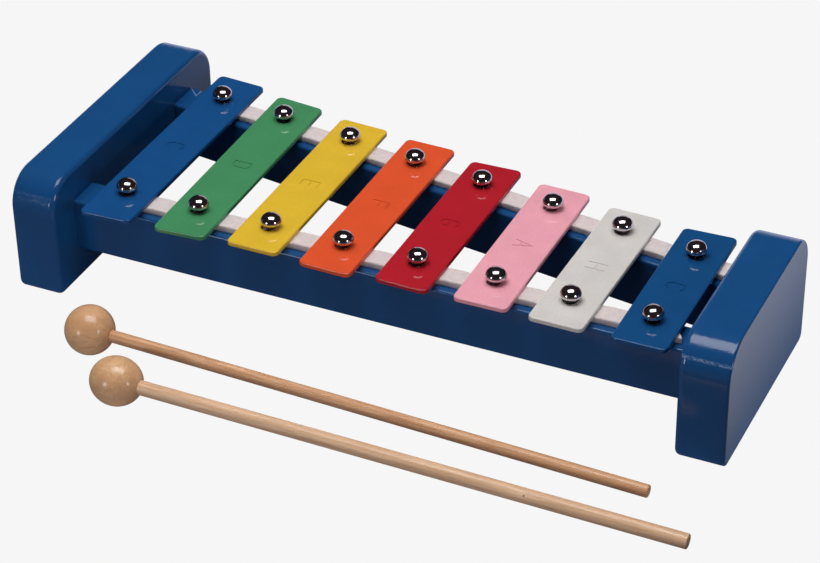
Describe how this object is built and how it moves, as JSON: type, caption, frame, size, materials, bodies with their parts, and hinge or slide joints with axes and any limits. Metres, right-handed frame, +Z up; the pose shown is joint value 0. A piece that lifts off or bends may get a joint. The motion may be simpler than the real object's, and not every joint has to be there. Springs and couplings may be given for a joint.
{
  "type": "xylophone",
  "caption": "Toy xylophone: painted steel note bars on felt-topped converging rails between end blocks, held by domed pins, with wooden ball mallets.",
  "frame": {"origin": "middle of the footprint of the whole set, frame and mallets together, on the surface it stands on", "axes": "+X along the row of bars from the long low bar to the short high bar, +Y away from the mallets to the back, +Z up"},
  "size_m": [0.3042, 0.1945, 0.0515],
  "materials": {
    "frame_paint": "gloss blue paint on wood",
    "felt": "off-white pressed felt",
    "pin_chrome": "bright polished plating",
    "ball_wood": "turned pale hardwood, clear satin lacquer",
    "stick_a_wood": "honey brown dowel, clear satin lacquer",
    "stick_b_wood": "pale cream dowel, clear satin lacquer",
    "bar_c_low_paint": "gloss blue enamel",
    "bar_d_paint": "gloss green enamel",
    "bar_e_paint": "gloss yellow enamel",
    "bar_f_paint": "gloss orange enamel",
    "bar_g_paint": "gloss red enamel",
    "bar_a_paint": "gloss pink enamel",
    "bar_h_paint": "gloss off-white enamel",
    "bar_c_high_paint": "gloss blue enamel"
  },
  "bodies": {
    "frame": {"end_block_left": "frame_paint", "end_block_right": "frame_paint", "rail_front": "frame_paint", "rail_rear": "frame_paint", "felt_front": "felt", "felt_rear": "felt", "pin_front_1": "pin_chrome", "pin_front_2": "pin_chrome", "pin_front_3": "pin_chrome", "pin_front_4": "pin_chrome", "pin_front_5": "pin_chrome", "pin_front_6": "pin_chrome", "pin_front_7": "pin_chrome", "pin_front_8": "pin_chrome", "pin_rear_1": "pin_chrome", "pin_rear_2": "pin_chrome", "pin_rear_3": "pin_chrome", "pin_rear_4": "pin_chrome", "pin_rear_5": "pin_chrome", "pin_rear_6": "pin_chrome", "pin_rear_7": "pin_chrome", "pin_rear_8": "pin_chrome"},
    "bar_c_low": {"bar_c_low": "bar_c_low_paint"},
    "bar_d": {"bar_d": "bar_d_paint"},
    "bar_e": {"bar_e": "bar_e_paint"},
    "bar_f": {"bar_f": "bar_f_paint"},
    "bar_g": {"bar_g": "bar_g_paint"},
    "bar_a": {"bar_a": "bar_a_paint"},
    "bar_h": {"bar_h": "bar_h_paint"},
    "bar_c_high": {"bar_c_high": "bar_c_high_paint"},
    "mallet_a": {"mallet_a_ball": "ball_wood", "mallet_a_stick": "stick_a_wood"},
    "mallet_b": {"mallet_b_ball": "ball_wood", "mallet_b_stick": "stick_b_wood"}
  },
  "joints": [
    {"name": "bar_c_low_bounce", "type": "slide", "parent": "frame", "child": "bar_c_low", "axis": [0, 0, 1], "range_m": [0, 0.0018]},
    {"name": "bar_d_bounce", "type": "slide", "parent": "frame", "child": "bar_d", "axis": [0, 0, 1], "range_m": [0, 0.0018]},
    {"name": "bar_e_bounce", "type": "slide", "parent": "frame", "child": "bar_e", "axis": [0, 0, 1], "range_m": [0, 0.0018]},
    {"name": "bar_f_bounce", "type": "slide", "parent": "frame", "child": "bar_f", "axis": [0, 0, 1], "range_m": [0, 0.0018]},
    {"name": "bar_g_bounce", "type": "slide", "parent": "frame", "child": "bar_g", "axis": [0, 0, 1], "range_m": [0, 0.0018]},
    {"name": "bar_a_bounce", "type": "slide", "parent": "frame", "child": "bar_a", "axis": [0, 0, 1], "range_m": [0, 0.0018]},
    {"name": "bar_h_bounce", "type": "slide", "parent": "frame", "child": "bar_h", "axis": [0, 0, 1], "range_m": [0, 0.0018]},
    {"name": "bar_c_high_bounce", "type": "slide", "parent": "frame", "child": "bar_c_high", "axis": [0, 0, 1], "range_m": [0, 0.0018]},
    {"name": "mallet_a_lift", "type": "slide", "parent": "frame", "child": "mallet_a", "axis": [0, 0, 1], "range_m": [0, 0.12]},
    {"name": "mallet_b_lift", "type": "slide", "parent": "frame", "child": "mallet_b", "axis": [0, 0, 1], "range_m": [0, 0.12]}
  ]
}
